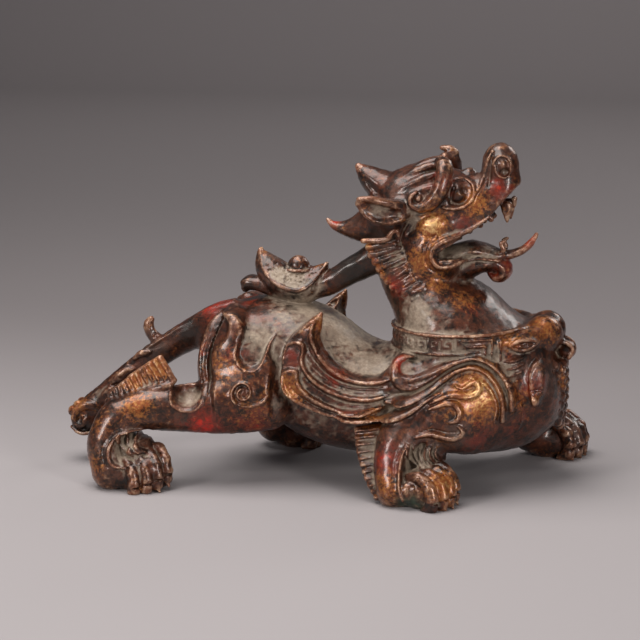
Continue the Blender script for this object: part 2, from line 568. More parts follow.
lay_roll([
    [-112, 50, 46.4, 2, 2], [-104, 51, 47.8, 2.6, 2.4], [-95, 51.6, 51, 2.8, 2.6],
    [-86, 51.6, 54.6, 2.8, 2.6], [-77, 51.4, 57, 2.6, 2.4], [-71.4, 50, 58.6, 1.6, 1.6],
], blend=1, sides=(NEAR,), step=3)
lay_pellet([-65.4, 54, 57], [8.8, 11.4, 11], blend=1.5, sides=(NEAR,), carve=True)
press_band([
    [-74.6, 54.6, 0.7], [-73, 48.4, 1.1], [-69, 45.4, 1.2], [-63.6, 44.2, 1.2], [-58.4, 46, 1.1],
    [-55.8, 50.8, 0.8],
], 1.2, edge=0.8, inward=20)
FIN_EDGE = [
    [-111.6, 46, 50.4], [-104.7, 46.6, 55.6], [-99, 47, 61], [-93.3, 47, 65], [-88, 47, 68.8],
    [-82.4, 47, 72],
]
lay_fin(
    FIN_EDGE,
    [
        [-110, 48, 46], [-103, 49, 49.6], [-95, 49.4, 52.6], [-87, 49.4, 55.4], [-80, 49.4, 57.6],
        [-74, 49, 59.4],
    ],
    strands=12, thick=2, lift=1.7, across=(0.86, 0, 0.5),
)
lay_roll([[x, y + 0.6, z, 1.3, 1.4] for x, y, z in FIN_EDGE], blend=0.5, sides=(NEAR,), step=4)
# far hind leg
lay_roll([[-30, 32, 52, 15, 20], [-16, 42, 42, 14, 16], [-8, 49, 32, 13, 12]], blend=5, sides=(FAR,))
lay_roll([[-8, 49, 31, 13, 12], [-24, 54, 22, 13, 11], [-38, 57, 14, 14, 12]], blend=4, sides=(FAR,))
lay_paw((-26, 58, 0), 0, FAR, size=1.0)


# Shoulders.
# Each shoulder is a swollen dome of wax. Ribbons start at a hook on the flank and sweep over it to the
# chest, grooved along their length, with small scrolls laid on the dome below them.

# the dome, and the swell that carries the ribbons back to the flank
lay_pellet([91, 33.5, 51], [26.5, 18.5, 29], blend=7, sides=BOTH)
lay_roll([
    [52, 40, 68, 5, 8], [66, 41, 66, 5, 8], [80, 40, 72, 5, 8], [96, 38, 74, 5, 7],
], blend=6, sides=BOTH)
lay_pellet([57, 40, 57], [17, 9.4, 15], blend=5, sides=BOTH)
# three ribbons, the uppermost with its hook, and the grooves along them
press_band([
    [116.6, 50, 2.6], [116.4, 58, 3], [113, 67, 3], [105.4, 74.8, 2.6], [96, 78.8, 2.4],
    [86.4, 76.6, 2.8], [77, 72, 3.6], [69, 67, 4.4], [61.4, 63.8, 5.2], [54.8, 65, 5.2],
    [51.6, 70.6, 4], [53, 75.8, 3.4], [57.2, 77.8, 2.8], [61, 77.4, 1.8],
], 3.4, edge=2.6, inward=26)
press_band([
    [111.6, 44, 2], [112, 54, 2.3], [108.4, 64, 2.3], [102.4, 70.8, 2], [95, 73.8, 1.9],
    [87, 72.2, 2.2], [79, 67.2, 2.8], [71, 61.4, 3.2], [63, 56.8, 3.4], [55, 54.2, 3.4],
    [47.6, 53.4, 2.4],
], 2.8, edge=2, inward=26)
press_band([
    [78, 60.4, 0.9], [71, 56.6, 1.9], [62.6, 50.8, 2.5], [53.4, 46.8, 2.6], [45, 44.4, 2],
    [38, 43, 0.9],
], 2.8, edge=1.8, inward=26)
for groove in (
    [
        [113.6, 52, 0.6], [112.4, 60, 0.8], [107.4, 68.4, 0.8], [99.6, 74.6, 0.8], [92, 76, 0.8],
        [84.4, 73.6, 0.9], [76, 67, 1], [68.4, 62, 1], [61, 58.4, 1], [53.6, 57.6, 0.9],
        [47, 57.4, 0.5],
    ],
    [[115.4, 55, 0.5], [112.6, 64, 0.6], [105, 72, 0.6], [96, 76.2, 0.6], [88, 74.8, 0.5]],
    [[80, 72.4, 0.5], [73, 68.4, 0.8], [66, 65, 0.8], [59.6, 64.2, 0.5]],
    [[72, 55.4, 0.5], [63.4, 54, 0.8], [54.6, 50.6, 0.8], [46, 48.8, 0.5]],
):
    press_band(groove, -1.3, edge=1.1, inward=26)
# a rim at the front of the dome, then the scrolls on it
press_band([
    [107.4, 44, 1.2], [108.8, 52, 1.4], [106, 60, 1.3], [100.6, 66, 1.1], [94, 68.4, 0.8],
], 1.5, edge=1, inward=26)
press_band([
    [73, 55.2, 1], [79, 58.2, 1.9], [85.4, 60, 2.2], [92, 59.2, 2.3], [97.6, 60.4, 2.3],
    [99.2, 63.6, 2.2], [96.6, 66.2, 2], [93, 64.8, 1.6], [90, 63, 1.2], [86, 64.6, 0.9],
], 2.2, edge=1.4, inward=26)
press_band([
    [72.4, 52.4, 0.9], [77.6, 54.2, 1.8], [82.6, 55.8, 2.1], [87, 54.8, 2.2], [89.8, 50.6, 2.2],
    [88.6, 46.4, 1.9], [84.4, 45.2, 1.2],
], 2.2, edge=1.4, inward=26)
lay_pellet([84, 52.2, 50.2], [3.8, 2.4, 3.6], blend=1, sides=BOTH)
press_band([
    [66.6, 37.6, 1.1], [74, 39.2, 2.2], [81.4, 36.8, 2.4], [88, 36, 2.3], [91.8, 39.8, 2.1],
    [89, 43, 1.2],
], 2.4, edge=1.6, inward=26)
press_band([
    [68, 39.8, 0.5], [75, 41.6, 0.8], [82.4, 39.6, 0.8], [87.8, 39.6, 0.5],
], -1.1, edge=0.9, inward=26)


# Wings.
# A wing lies along each flank: three long feathers that sweep back and turn up into lobes laid one over
# the other. They melt into the shoulder in front, and each has a raised border and channels beside it.

# the swell under the wing, and the tip at its top
lay_roll([
    [0, 37, 84, 4, 8], [1, 38, 72, 5, 12], [10, 39, 62, 5, 12], [24, 39.6, 55, 5, 11],
    [40, 40, 54, 5, 10], [56, 40, 58, 4, 8],
], blend=6, sides=BOTH)
lay_roll([
    [8, 37, 99, 1, 1], [5.4, 38, 93, 3.4, 3.6], [1.6, 38.4, 86, 4.4, 6],
], blend=1.5, sides=BOTH, step=2.5)
# the three feathers
press_plate([
    [7.8, 98.4], [3.7, 97.5], [-2.1, 93.2], [-8.8, 86.5], [-11.7, 82.3], [-13.2, 77.1], [-14.1, 70.5],
    [-14.6, 62.2], [-12.4, 54.4], [-6, 48.6], [2.6, 44.4], [12.5, 41.2], [24.8, 39.8], [37.9, 40.8],
    [45, 43], [49.6, 48], [50.8, 54], [50, 61], [48.4, 66.4], [44, 66.4], [36.9, 65], [27.9, 65.7],
    [20.5, 68.8], [14, 73.7], [9.1, 79.4], [6.7, 86], [5.9, 90.9],
], 3, edge=2, inward=24, fades=(36, 52))
press_plate([
    [-11.4, 82.4], [-6.4, 85.6], [-0.4, 85.2], [1.6, 80.4], [0.6, 75], [2.6, 69.6], [8, 63.9],
    [16, 59.4], [25.7, 56.4], [35.5, 55.6], [43, 57], [47.4, 58.4], [48.6, 54], [47, 48.4],
    [43.4, 44.2], [37.8, 41.8], [24.8, 40.8], [12.6, 42.2], [3.2, 45.4], [-5.4, 49.4], [-11.6, 55],
    [-13.6, 62.4], [-13.2, 70.4], [-12.4, 77],
], 2.6, edge=1.5, inward=24, fades=(36, 50))
press_plate([
    [-12.8, 67.6], [-7.6, 70.2], [-2.4, 69.4], [-1.8, 64.8], [0, 60.4], [5, 55.6], [13.8, 51.2],
    [23.5, 48.2], [32.5, 48.6], [40, 50.4], [45, 52], [46, 49.4], [43, 45.6], [37.6, 42.8],
    [24.8, 41.8], [13, 43.2], [3.8, 46.4], [-4.8, 50.2], [-10.8, 55.6], [-12.8, 62.4],
], 2.6, edge=1.5, inward=24, fades=(36, 50))
# their borders
for border in (
    [
        [7, 96.4, 0.9], [4, 91, 1.4], [4.4, 85, 1.8], [7.6, 78.2, 2], [13, 71.4, 2.1],
        [20, 66.6, 2.1], [28, 63.6, 2.1], [37, 62.8, 2.1], [44, 63.8, 1.8], [49, 65.4, 1],
    ],
    [
        [-9.6, 82, 0.8], [-5.6, 83.8, 1.5], [-0.8, 83, 1.6], [0, 78.4, 1.7], [-0.8, 73.6, 1.7],
        [1.8, 67.8, 1.8], [7.4, 62.2, 1.8], [15.6, 57.6, 1.8], [25.6, 54.6, 1.8], [35.6, 53.8, 1.8],
        [43, 55, 1.6], [48.6, 56.8, 0.9],
    ],
    [
        [-11, 67.2, 0.8], [-7.2, 68.4, 1.5], [-3.4, 67.6, 1.6], [-3, 63.6, 1.6], [-1.4, 59.4, 1.6],
        [4.4, 54, 1.7], [13.4, 49.4, 1.7], [23.6, 46.4, 1.7], [33, 46.6, 1.7], [41, 48.6, 1.5],
        [46, 50.2, 0.9],
    ],
    [
        [-11.4, 65, 1], [-11.4, 60, 1.6], [-8.8, 54.8, 1.9], [-3, 50.6, 2], [5, 47, 2], [13.8, 44, 2],
        [25.2, 42.8, 2], [36, 43.2, 1.8], [43, 44.6, 1],
    ],
    [[-9.6, 82, 0.8], [-11.6, 77, 1.2], [-12, 71.6, 0.9]],
    [[-8.4, 84.4, 0.7], [-3, 90.4, 1.1], [3.4, 95.4, 0.9]],
):
    press_band(border, 1.6, edge=1.4, inward=24)
# their channels
for channel in (
    [
        [1.2, 82, 0.6], [4.8, 75.2, 0.9], [11, 68, 1.1], [19.4, 62.8, 1.2], [29.6, 60.2, 1.2],
        [40, 60.4, 1.1], [48, 62, 0.5],
    ],
    [
        [0.8, 76.4, 0.5], [4.4, 71.3, 0.7], [10.1, 66, 0.8], [17.5, 60.9, 0.8], [27.3, 58.2, 0.8],
        [38.8, 58.2, 0.8], [47, 59.6, 0.4],
    ],
    [[1.4, 64.2, 0.5], [7.4, 59, 0.8], [16.6, 54.2, 1], [27, 51.2, 1.1], [37, 51.6, 1], [45, 53.4, 0.5]],
    [
        [-7.6, 62, 0.5], [-4.4, 56.6, 0.8], [3.4, 51, 1], [14, 46.8, 1], [25.6, 44.8, 1],
        [35, 45.4, 1], [43, 46.8, 0.5],
    ],
):
    press_band(channel, -1.6, edge=1.3, inward=24)


# Haunches.
# The haunch is a heavy thigh under a flat flame-shaped plate that is notched at the front, carries a
# spiral at its foot, and is bordered behind by a narrow strap.

# the thigh, and the swell under the plate
lay_pellet([-39, 24, 64], [27, 19, 31], turn=8, blend=7, sides=BOTH)
lay_roll([
    [-46, 18, 96, 4, 3.4], [-43, 27, 93, 5, 5], [-43, 34, 86, 5, 7], [-44, 37.6, 77.6, 5, 9],
    [-42, 39.6, 67, 5, 12], [-38.6, 40.6, 57, 5.4, 14], [-36, 40.6, 49, 5, 10],
], blend=5, sides=BOTH, step=3)
# the plate, with a raised line inside its notch
press_plate([
    [-54, 95], [-50, 98.4], [-44.7, 99.4], [-38.6, 97], [-35.2, 92], [-34.4, 87], [-36.2, 81],
    [-36.8, 75.9], [-34.8, 71.6], [-30.8, 69.2], [-27, 70.4], [-25, 75.1], [-23.4, 80.3],
    [-20.8, 84.4], [-17.4, 87.4], [-18.6, 82.6], [-19.4, 78], [-18.4, 73.6], [-16.8, 69.6], [-17, 62],
    [-17.4, 54], [-17, 42], [-18, 27], [-50, 26], [-50.6, 42], [-51.6, 53.4], [-52.5, 60.6],
    [-54.4, 66.7], [-54.9, 72.8], [-53.2, 77.9], [-49.6, 82], [-46, 87.2], [-46.4, 91.6],
], 3.6, edge=3, inward=16, sinks=(36, 54))
press_band([
    [-36.4, 90, 0.8], [-36, 85, 1.1], [-38.2, 80, 1.2], [-38.6, 75, 1.2], [-36, 69.8, 1.2],
    [-30.6, 67, 1.2], [-25.6, 68.8, 1.2], [-23, 74.6, 1], [-20.8, 79.4, 0.7],
], 1.1, edge=1, inward=16)
# the strap behind it, with a groove on each side
lay_roll([
    [-50.6, 22, 93.4, 3, 3.4], [-54.8, 27, 88, 4, 3.8], [-57.4, 32, 80, 4.6, 4],
    [-58.6, 36, 72, 5, 4], [-57.8, 39, 63, 5, 3.8], [-56, 41, 55, 4.4, 3.4], [-54, 42, 47, 3, 2.2],
], blend=1.5, sides=BOTH, step=3, fullness=2.4)
press_band([
    [-49.4, 93.4, 0.5], [-51.4, 87.4, 0.8], [-54, 80, 0.9], [-55.2, 72, 0.9], [-54.6, 63, 0.9],
    [-52.6, 53, 0.7],
], -1.6, edge=0.9, inward=14)
press_band([
    [-56.6, 86, 0.4], [-59, 79, 0.7], [-60, 71, 0.7], [-59.2, 62, 0.7], [-57.4, 54, 0.5],
], -0.9, edge=0.8, inward=14)
# the spiral at its foot
press_band([
    [-18.6, 62, 0.6], [-19, 54, 1.2], [-23.2, 49.6, 1.3], [-30, 47.8, 1.2], [-35, 48.8, 1],
    [-38.6, 52.6, 0.8],
], 1.5, edge=1.1, inward=25)
spiral = coil((-33, 55.6), (6.6, 6.8), (0.23, 0.24), 236, 25, 20, 0.95)
press_band(spiral, 1.9, edge=0.8, inward=25, step=1.5)
spiral_groove = coil((-33, 55.6), (4.8, 5), (0.2, 0.21), 236, 25, 20, 0.6)
press_band(spiral_groove, -1.1, edge=0.7, inward=25, step=1.5)


# Chest mask and collar.
# A small beast's face is pressed on to the chest: heavy brows, a ball of a nose, almond ears and a beard
# of curls, each curl a pellet with a groove wound into it. Above it a collar rings the foot of the neck,
# with its ground sunk so that a key pattern stands between two rims.

# the mask: brows, nose and muzzle, and the long chin that carries the beard
lay_pellet([129.4, 7.4, 86.2], [10.8, 11.4, 10.8], blend=3, sides=BOTH)
lay_roll([
    [110, 34, 85.4, 1.6, 1.6], [115.6, 30.6, 86, 3, 3.2], [122, 23.6, 86.4, 5.2, 5.8],
    [128.6, 14, 85.4, 6.4, 7.6],
], blend=2, sides=BOTH, step=3)
lay_pellet([141.6, 0, 76.4], [5.4, 6.2, 5.2], blend=0.8)
lay_roll([
    [133, 5, 80, 1.4, 1.4], [138.4, 6.4, 82, 1.5, 1.5], [143, 5.4, 80.6, 1.5, 1.5],
    [145.4, 5, 76.4, 1.4, 1.4], [143.4, 6, 72.8, 1.2, 1.2],
], blend=0.6, sides=BOTH, step=2)
lay_roll([[130, 0, 84, 6, 5], [137, 0, 80, 4.6, 4]], blend=2)
lay_roll([
    [133, 0, 70, 12, 4], [136, 0, 58, 12, 4.4], [136, 0, 46, 10, 4], [133, 0, 38, 7, 3.4],
], blend=3)
# the curls of the beard, and the moustache over them
curls = np.random.default_rng(5)
for column, offset, rows in ((0, 2.6, 8), (1, 8.2, 7), (2, 13.6, 6), (3, 18.4, 4)):
    for row in range(rows):
        drop = 5 * row + 2.5 * (column % 2)
        front = 140.4 - 0.85 * column ** 2 - 0.0045 * (drop - 12) ** 2
        girth = curls.uniform(2.5, 3.3)
        lean = curls.uniform(-0.8, 0.8)
        side = offset + lean
        lay_pellet([front, side, 69 - drop], [3.2, girth, girth * 0.92], blend=0.9, sides=BOTH, turn=20)
        lay_roll([
            [front + 3, side - girth * 0.5, 69.4 - drop, 0.6, 0.5],
            [front + 3.2, side, 70.4 - drop, 0.6, 0.5],
            [front + 3, side + girth * 0.55, 69.2 - drop, 0.6, 0.5],
            [front + 3.2, side + 0.2, 68 - drop, 0.6, 0.5],
        ], blend=0.4, sides=BOTH, carve=True, step=2)
lay_roll([
    [139, 1, 70.6, 2, 1.8], [137.4, 8, 69.6, 2.4, 2.2], [134, 14, 71.4, 2.2, 2],
    [130.6, 19, 75, 1.2, 1.2],
], blend=0.8, sides=BOTH, step=2.5)

COLLAR = (83, 0, 85.4)
COLLAR_HALF = (38, 44.6)
COLLAR_LEAN = 0.026


def lay_hoop(wider, thick, blend, rise=0.0):
    """A hoop round the neck that leans with the collar; thick is its half height and half depth."""
    places = []
    for place in range(61):
        angle = math.radians(6 * place)
        x = (COLLAR_HALF[0] + wider) * math.cos(angle)
        y = (COLLAR_HALF[1] + wider) * math.sin(angle)
        places.append([COLLAR[0] + x, COLLAR[1] + y, COLLAR[2] + rise + COLLAR_LEAN * x, *thick])
    lay_roll(places, blend=blend, across=(0, 0, 1), step=9)


def press_keys(height, fill, stops, pitch, depth, stroke):
    """A meander round the collar from behind to stops: its ground is sunk and the strokes stand.

    height is half the space between the rims, of which the keys fill the share fill.
    """
    corners = [
        (-0.5, -0.42), (-0.5, 0.42), (0.36, 0.42), (0.36, -0.2), (-0.2, -0.2), (-0.2, 0.12), (0.08, 0.12),
    ]
    path = [(u * pitch, v * 2 * height * fill) for u, v in corners]
    strokes = [*zip(path, path[1:]), (path[0], (0.5 * pitch, path[0][1]))]
    wax.append({
        "kind": "keys", "height": height, "stops": stops, "pitch": pitch,
        "depth": depth, "stroke": stroke, "strokes": np.array(strokes),
    })


lay_pellet([83, 0, 83.6], [37.6, 44, 11], blend=3, fullness=2.6)
lay_hoop(0, (5.8, 2.2), 1.5)
for rise in (-5.2, 5):
    lay_hoop(1.6, (1, 1.4), 0.6, rise)
press_keys(height=5.4, fill=0.74, stops=3.5, pitch=8.4, depth=1.5, stroke=0.72)
# the large keys beside the mask, then the fur at its edge
for stroke in (
    [[88, 88.2, 0.7], [104.6, 88.4, 0.7]],
    [[104.6, 88.6, 0.7], [104.6, 78.4, 0.7]],
    [[91.4, 84.8, 0.7], [101.2, 85, 0.7]],
    [[101.2, 85.2, 0.7], [101.2, 79.6, 0.7]],
    [[109, 87.6, 0.8], [109, 76.6, 0.8]],
    [[92, 81.6, 0.6], [97.6, 81.8, 0.6]],
    [[110.6, 76, 0.5], [116, 76, 1], [122.6, 78, 0.5]],
    [[111, 71.6, 0.5], [116, 72.2, 1.1], [122, 74.4, 0.5]],
    [[111.4, 67, 0.5], [116, 68.2, 1], [121, 70.4, 0.5]],
    [[112, 62.6, 0.4], [116, 64, 0.8], [120, 66.4, 0.4]],
):
    press_band(stroke, 1.1, edge=0.6, inward=12, step=3)
# its cupped ears, and the flame on each cheek
press_plate([
    [112, 84], [116.4, 88.2], [121, 89.4], [126, 88.6], [130, 85.6], [126.4, 81], [120.4, 79.4],
    [115.6, 80.6],
], 2.8, edge=1.6, inward=12)
press_band([
    [115.4, 84, 0.7], [119.8, 84.4, 2.2], [124, 84.8, 2], [127.6, 85.2, 0.6],
], -2, edge=1.2, inward=12)
press_band([
    [115.8, 83.4, 0.4], [120, 83.8, 0.7], [124.4, 84.4, 0.7], [127.2, 85, 0.4],
], 1.6, edge=0.7, inward=12)
press_plate([
    [125, 75], [129, 77.4], [133.4, 73], [134.8, 65], [133.8, 57], [130.4, 50.6], [126.6, 49.6],
    [124.4, 55], [123.4, 62], [123.4, 70],
], 2.8, edge=2.6, inward=8)
press_band([[128, 55, 2.6], [129, 52.4, 2.8]], 1.8, edge=1.8, inward=8)
press_band([[124.6, 59, 0.4], [128, 60.4, 0.8], [132.4, 59.4, 0.5]], -1.2, edge=0.8, inward=8)
press_band([[118, 57, 0.5], [121.4, 50, 1], [121, 42, 1], [117.4, 35, 0.5]], 1, edge=1, inward=10)


# Casting.
# The finished wax is turned into bronze: the forms are melted together into one skin, which is ground flat
# under the feet and becomes a mesh. The skin lies where the distance to the wax is zero. That distance is
# taken once in every cell of the field, and again at every grain in the cells near the skin.

# the field: its cells, how many grains each is wide, its low corner and how many cells it holds
CELL = 2.6
FINE = 4
GRAIN = CELL / FINE
FIELD_LOW = np.array([-158.6, -91.0, -5.2])
FIELD_CELLS = (122, 70, 79)
# from a cell's middle to its corners, and room for relief that the first look can miss
CELL_REACH = CELL * 0.87
RELIEF_SPARE = 2.2
CELLS_AT_ONCE = 6000
# how far from a form its distance is taken, and what stands for far away
BAND = 5.4
CLEAR = 30.0
# how uneven the wax is
UNEVEN = 0.1


def egg_distance(parts, radii, fullness):
    """How far a place lies from an egg: parts are its offsets along the egg's axes."""
    u, v, w = (abs(part) / radius for part, radius in zip(parts, radii))
    if fullness == 2.0:
        inner = np.sqrt(u * u + v * v + w * w) + 1e-6
        slope = np.sqrt((u / radii[0]) ** 2 + (v / radii[1]) ** 2 + (w / radii[2]) ** 2) + 1e-6
        return inner * (inner - 1) / slope
    inner = (u ** fullness + v ** fullness + w ** fullness) ** (1 / fullness) + 1e-6
    power = fullness - 1
    slope = (u ** power / radii[0]) ** 2 + (v ** power / radii[1]) ** 2 + (w ** power / radii[2]) ** 2
    slope = np.sqrt(slope) + 1e-9
    return (inner - 1) * inner ** power / slope


def melt(skin, form, blend):
    """Two skins run together, with a fillet of about that size."""
    gap = np.maximum(blend - abs(skin - form), 0) / blend
    return np.minimum(skin, form) - gap * gap * blend / 4


def cells_near(middle, place, reach):
    """Which cells have their middle within reach of a place."""
    offset = middle - place
    return np.nonzero(np.einsum("ij,ij->i", offset, offset) < reach * reach)[0]


def press_into(skin, form, x, y, z, middle, spread):
    """Adds a pressed band or plate to the skin, on its own side of the beast."""
    reach = spread + 0.5 + (form["half"].max() if form["kind"] == "band" else 0)
    low = np.minimum(form["start"], form["stop"]).min(0) - reach
    high = np.maximum(form["start"], form["stop"]).max(0) + reach
    flat_middle = middle[:, [0, 2]]
    beside = middle[:, 1] * form["side"] > form["inward"] - spread
    near = np.nonzero(((flat_middle > low) & (flat_middle < high)).all(1) & beside)[0]
    if not len(near):
        return
    flat_x = x[near]
    flat_z = z[near]
    depth = np.full((len(near), flat_x.shape[1], 1, flat_z.shape[3]), -CLEAR, np.float32)
    within = np.zeros(depth.shape, bool)
    for i, (start, stop) in enumerate(zip(form["start"], form["stop"])):
        if form["kind"] == "band":
            span = np.linalg.norm(stop - start)
            own = cells_near(flat_middle[near], (start + stop) / 2, span / 2 + reach)
            if not len(own):
                continue
        else:
            own = slice(None)
        across = (stop - start).astype(np.float32)
        off_x = flat_x[own] - np.float32(start[0])
        off_z = flat_z[own] - np.float32(start[1])
        share = np.clip((off_x * across[0] + off_z * across[1]) / (across @ across), 0, 1)
        away = np.sqrt((off_x - share * across[0]) ** 2 + (off_z - share * across[1]) ** 2)
        if form["kind"] == "band":
            half = form["half"][i].astype(np.float32)
            depth[own] = np.maximum(depth[own], half[0] + share * (half[1] - half[0]) - away)
        else:
            depth = np.maximum(depth, -away)
            level = np.float32(stop[1])
            if abs(across[1]) > 1e-6:
                left = off_x - off_z * (across[0] / across[1]) < 0
                within ^= ((flat_z >= np.float32(start[1])) != (flat_z >= level)) & left
    if form["kind"] == "plate":
        depth = np.where(within, -depth, depth)
        bottom, top = form["sinks"]
        back, front = form["fades"]
        sunk = np.clip((flat_z - bottom) / (top - bottom), 0, 1)
        sunk = sunk * np.clip((front - flat_x) / (front - back), 0, 1)
    else:
        sunk = 1
    rise = np.clip(depth / np.float32(form["edge"]), 0, 1)
    fade = np.clip((y[near] * form["side"] - form["inward"]) / 2, 0, 1)
    skin[near] -= np.float32(form["height"]) * rise * rise * (3 - 2 * rise) * fade * sunk


def cut_keys(skin, form, x, y, z, middle, spread):
    """Sinks the collar's ground and leaves the meander standing on it."""
    wide, deep = COLLAR_HALF
    reach = form["height"] + spread + 1
    ring = np.hypot((middle[:, 0] - COLLAR[0]) / wide, (middle[:, 1] - COLLAR[1]) / deep)
    rise = middle[:, 2] - COLLAR[2] - COLLAR_LEAN * (middle[:, 0] - COLLAR[0])
    near = np.nonzero((abs(rise) < reach) & (ring > 0.85) & (ring < 1.2))[0]
    if not len(near):
        return
    off_x = x[near] - np.float32(COLLAR[0])
    off_y = y[near] - np.float32(COLLAR[1])
    angle = np.arctan2(off_y / np.float32(deep), off_x / np.float32(wide))
    count = round(2 * math.pi * (wide + deep) / 2 / form["pitch"])
    along = (abs(angle) / (2 * math.pi) * count + 0.5) % 1 - 0.5
    along = along * form["pitch"]
    up = z[near] - np.float32(COLLAR[2]) - np.float32(COLLAR_LEAN) * off_x
    away = np.full(skin[near].shape, CLEAR, np.float32)
    for start, stop in form["strokes"]:
        across = (stop - start).astype(np.float32)
        off_along = along - np.float32(start[0])
        off_up = up - np.float32(start[1])
        share = np.clip((off_along * across[0] + off_up * across[1]) / (across @ across), 0, 1)
        gap = np.sqrt((off_along - share * across[0]) ** 2 + (off_up - share * across[1]) ** 2)
        away = np.minimum(away, gap)
    # the ground slopes down from the strokes and the rims, and ends where the mask begins
    beside_strokes = np.clip((away - form["stroke"]) / 0.7, 0, 1)
    between_rims = np.clip((form["height"] * 0.86 - abs(up)) / 0.8, 0, 1)
    behind = np.clip(form["stops"] - off_x, 0, 1)
    skin[near] += np.float32(form["depth"]) * (beside_strokes * between_rims * behind)


def pellet_distance(form, x, y, z, middle, margin):
    """The cells near a pellet, and how far each of their places is from it."""
    near = cells_near(middle, form["centre"], form["radii"].max() * 1.05 + margin)
    offset = [g[near] - np.float32(c) for g, c in zip((x, y, z), form["centre"])]
    parts = [sum(o * np.float32(a) for o, a in zip(offset, axis)) for axis in form["axes"]]
    return near, egg_distance(parts, [np.float32(r) for r in form["radii"]], form["fullness"])


def roll_distance(form, x, y, z, middle, margin):
    """The same for a roll, which is a run of short lengths."""
    size = np.maximum(form["wide"], form["deep"]).max(1)
    ends = form["start"] + form["along"] * form["length"][:, None]
    low = np.minimum(form["start"], ends) - size[:, None] - margin
    high = np.maximum(form["start"], ends) + size[:, None] + margin
    near = np.nonzero(((middle > low.min(0)) & (middle < high.max(0))).all(1))[0]
    distance = np.full((len(near), x.shape[1], y.shape[2], z.shape[3]), CLEAR, np.float32)
    near_middle = middle[near]
    for i, length in enumerate(form["length"]):
        halfway = (form["start"][i] + ends[i]) / 2
        own = cells_near(near_middle, halfway, length / 2 + size[i] * 1.1 + margin)
        if not len(own):
            continue
        cells = near[own]
        offset = [g[cells] - np.float32(c) for g, c in zip((x, y, z), form["start"][i])]
        along, wide, deep = (
            sum(o * np.float32(a) for o, a in zip(offset, form[axis][i]))
            for axis in ("along", "wide_axis", "deep_axis")
        )
        length = np.float32(length)
        share = np.clip(along / length, 0, 1)
        half_wide, half_deep = (
            np.float32(first) + share * np.float32(last - first)
            for first, last in (form["wide"][i], form["deep"][i])
        )
        rounded = np.minimum(np.minimum(half_wide, half_deep), form["ends"])
        past = along - share * length
        piece = egg_distance((past, wide, deep), (rounded, half_wide, half_deep), form["fullness"])
        distance[own] = np.minimum(distance[own], piece)
    return near, distance


def skin_of(x, y, z, middle, spread):
    """The distance to the wax from each place; x, y and z are open grids with one row for each cell."""
    skin = np.full((len(x), x.shape[1], y.shape[2], z.shape[3]), CLEAR, np.float32)
    for form in wax:
        if form["kind"] in ("band", "plate"):
            press_into(skin, form, x, y, z, middle, spread)
        elif form["kind"] == "keys":
            cut_keys(skin, form, x, y, z, middle, spread)
        else:
            measure = pellet_distance if form["kind"] == "pellet" else roll_distance
            near, distance = measure(form, x, y, z, middle, BAND + form["blend"] + spread)
            if form["carve"]:
                skin[near] = -melt(-skin[near], distance, form["blend"])
            else:
                skin[near] = melt(skin[near], distance, form["blend"])
    # the wax was never quite even
    waver = np.sin(x * 0.83 + y * 0.31) * np.sin(z * 0.71 - x * 0.22)
    waver = waver + np.sin(y * 0.67 + z * 0.45) * np.sin(x * 0.52 - z * 0.9 + 1.3)
    skin += np.float32(UNEVEN) * waver
    return np.maximum(skin, -z)


def open_grids(corners, per_cell, pitch):
    """The x, y and z of the places in each cell, counted from its corner."""
    ticks = (np.arange(per_cell) * pitch).astype(np.float32)
    x = corners[:, 0].astype(np.float32)[:, None, None, None] + ticks[None, :, None, None]
    y = corners[:, 1].astype(np.float32)[:, None, None, None] + ticks[None, None, :, None]
    z = corners[:, 2].astype(np.float32)[:, None, None, None] + ticks[None, None, None, :]
    return x, y, z


index = np.stack(np.meshgrid(*[np.arange(n) for n in FIELD_CELLS], indexing="ij"), -1).reshape(-1, 3)
corner = FIELD_LOW + index * CELL
coarse = skin_of(*open_grids(corner + CELL / 2, 1, 0.0), corner + CELL / 2, 0.0).reshape(-1)
kept = np.nonzero(abs(coarse) < CELL_REACH + RELIEF_SPARE)[0]
field = np.where(coarse < 0, -CLEAR, CLEAR).astype(np.float32).reshape(FIELD_CELLS)
for axis in range(3):
    field = np.repeat(field, FINE, axis)
blocks = field.reshape(FIELD_CELLS[0], FINE, FIELD_CELLS[1], FINE, FIELD_CELLS[2], FINE)
for batch in np.array_split(kept, max(1, len(kept) // CELLS_AT_ONCE)):
    values = skin_of(*open_grids(corner[batch], FINE, GRAIN), corner[batch] + CELL / 2, CELL_REACH)
    i, j, k = index[batch].T
    blocks[i, :, j, :, k, :] = values


